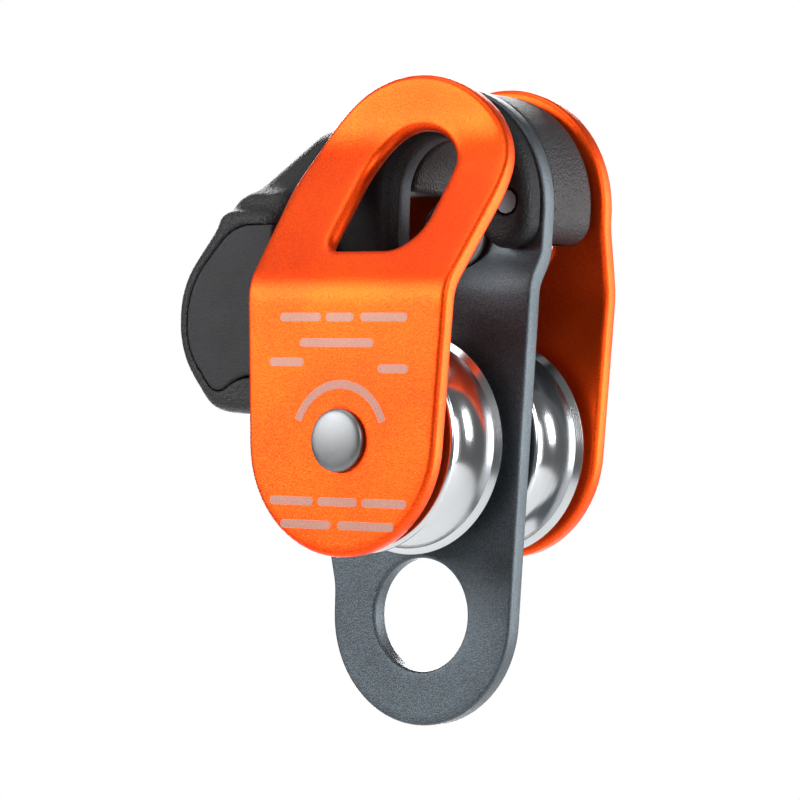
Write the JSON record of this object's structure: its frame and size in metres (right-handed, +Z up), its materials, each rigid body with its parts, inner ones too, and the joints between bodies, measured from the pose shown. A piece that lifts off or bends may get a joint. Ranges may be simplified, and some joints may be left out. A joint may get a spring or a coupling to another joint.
{
  "type": "rope pulley",
  "caption": "Double rope pulley with becket: two ball-bearing sheaves between three plates, swinging side plates, and a sprung cam with a thumb lever over the rear sheave.",
  "frame": {"origin": "centre of the anchor slot's round top in the centre plate, on the axle's middle: halfway across the centre plate where the axle goes through it", "axes": "+Z up from the axle to the anchor slot, +Y along the axle towards the rear plate, +X away from the cam lever's paddle"},
  "size_m": [0.0696, 0.057, 0.1146],
  "materials": {
    "orange_anodised": "bead-blasted, orange anodised, satin",
    "grey_anodised": "bead-blasted, dark blue-grey anodised, satin with bright cut edges",
    "turned_aluminium": "turned and polished, bright",
    "bright_steel": "plated steel, satin",
    "spring_steel": "drawn steel",
    "bronze": "sintered bronze",
    "black_plastic": "moulded, fine spark-eroded texture",
    "black_rubber": "moulded"
  },
  "bodies": {
    "centre": {"centre_plate": "grey_anodised", "axle": "bright_steel", "front_inner_race": "bright_steel", "rear_inner_race": "bright_steel", "front_outer_bush": "bright_steel", "front_inner_bush": "bright_steel", "rear_inner_bush": "bright_steel", "rear_outer_bush": "bright_steel", "front_spacer": "black_plastic", "spacer_screw_1": "bright_steel", "spacer_screw_2": "bright_steel", "spacer_screw_3": "bright_steel", "cam_pivot_pin": "bright_steel", "pivot_retaining_ring": "spring_steel", "cam_spring": "spring_steel", "lever_stop_pin": "bright_steel"},
    "front_side": {"front_plate": "orange_anodised"},
    "rear_side": {"rear_plate": "orange_anodised"},
    "front_wheel": {"front_sheave": "turned_aluminium", "front_outer_race": "bright_steel", "front_seal_a": "black_rubber", "front_seal_b": "black_rubber"},
    "rear_wheel": {"rear_sheave": "turned_aluminium", "rear_outer_race": "bright_steel", "rear_seal_a": "black_rubber", "rear_seal_b": "black_rubber"},
    "front_rollers": {"front_cage": "spring_steel", "front_ball_1": "bright_steel", "front_ball_2": "bright_steel", "front_ball_3": "bright_steel", "front_ball_4": "bright_steel", "front_ball_5": "bright_steel", "front_ball_6": "bright_steel", "front_ball_7": "bright_steel"},
    "rear_rollers": {"rear_cage": "spring_steel", "rear_ball_1": "bright_steel", "rear_ball_2": "bright_steel", "rear_ball_3": "bright_steel", "rear_ball_4": "bright_steel", "rear_ball_5": "bright_steel", "rear_ball_6": "bright_steel", "rear_ball_7": "bright_steel"},
    "cam_lever": {"cam": "bright_steel", "cam_bush": "bronze", "cam_rivet_1": "bright_steel", "cam_rivet_2": "bright_steel", "lever_body": "black_plastic", "lever_lid": "black_plastic"}
  },
  "joints": [
    {"name": "front_plate_swing", "type": "hinge", "parent": "centre", "child": "front_side", "pos_m": [0, 0, -0.0451], "axis": [0, 1, 0], "range_deg": [0, 180]},
    {"name": "rear_plate_swing", "type": "hinge", "parent": "centre", "child": "rear_side", "pos_m": [0, 0, -0.0451], "axis": [0, 1, 0], "range_deg": [0, 180]},
    {"name": "front_sheave_spin", "type": "hinge", "parent": "centre", "child": "front_wheel", "pos_m": [0, 0, -0.0451], "axis": [0, 1, 0], "continuous": true},
    {"name": "rear_sheave_spin", "type": "hinge", "parent": "centre", "child": "rear_wheel", "pos_m": [0, 0, -0.0451], "axis": [0, 1, 0], "continuous": true},
    {"name": "front_roller_orbit", "type": "hinge", "parent": "centre", "child": "front_rollers", "pos_m": [0, 0, -0.0451], "axis": [0, 1, 0], "continuous": true},
    {"name": "rear_roller_orbit", "type": "hinge", "parent": "centre", "child": "rear_rollers", "pos_m": [0, 0, -0.0451], "axis": [0, 1, 0], "continuous": true},
    {"name": "cam_lever_swing", "type": "hinge", "parent": "centre", "child": "cam_lever", "pos_m": [0.0042, 0, -0.0077], "axis": [0, 1, 0], "range_deg": [0, 28], "stiffness_Nm_per_rad": 0.06, "springref_deg": -28.65}
  ],
  "couplings": [
    {"joint": "front_roller_orbit", "follows": "front_sheave_spin", "ratio": 0.6},
    {"joint": "rear_roller_orbit", "follows": "rear_sheave_spin", "ratio": 0.6}
  ]
}
